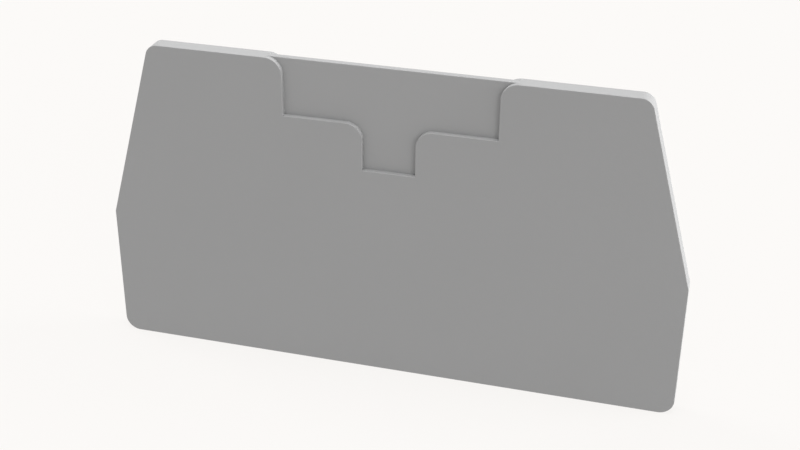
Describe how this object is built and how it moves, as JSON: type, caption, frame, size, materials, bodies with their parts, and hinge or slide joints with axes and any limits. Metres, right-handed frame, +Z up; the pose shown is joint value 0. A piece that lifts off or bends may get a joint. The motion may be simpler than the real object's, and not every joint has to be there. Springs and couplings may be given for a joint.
{
  "type": "terminal block end cover",
  "caption": "Flat plastic end cover for a terminal block: a plate with leaning sides and a stepped recess in its top edge, closed by a thin web.",
  "frame": {"origin": "Centre of the cover's bottom edge, midway through its thickness.", "axes": "+X runs along the cover, +Y through its thickness towards the block, +Z up to the recessed top edge."},
  "size_m": [0.0764, 0.0022, 0.0432],
  "materials": {
    "cover_plastic": "moulded, matt to satin"
  },
  "bodies": {
    "root": {"end_cover": "cover_plastic"}
  },
  "joints": []
}
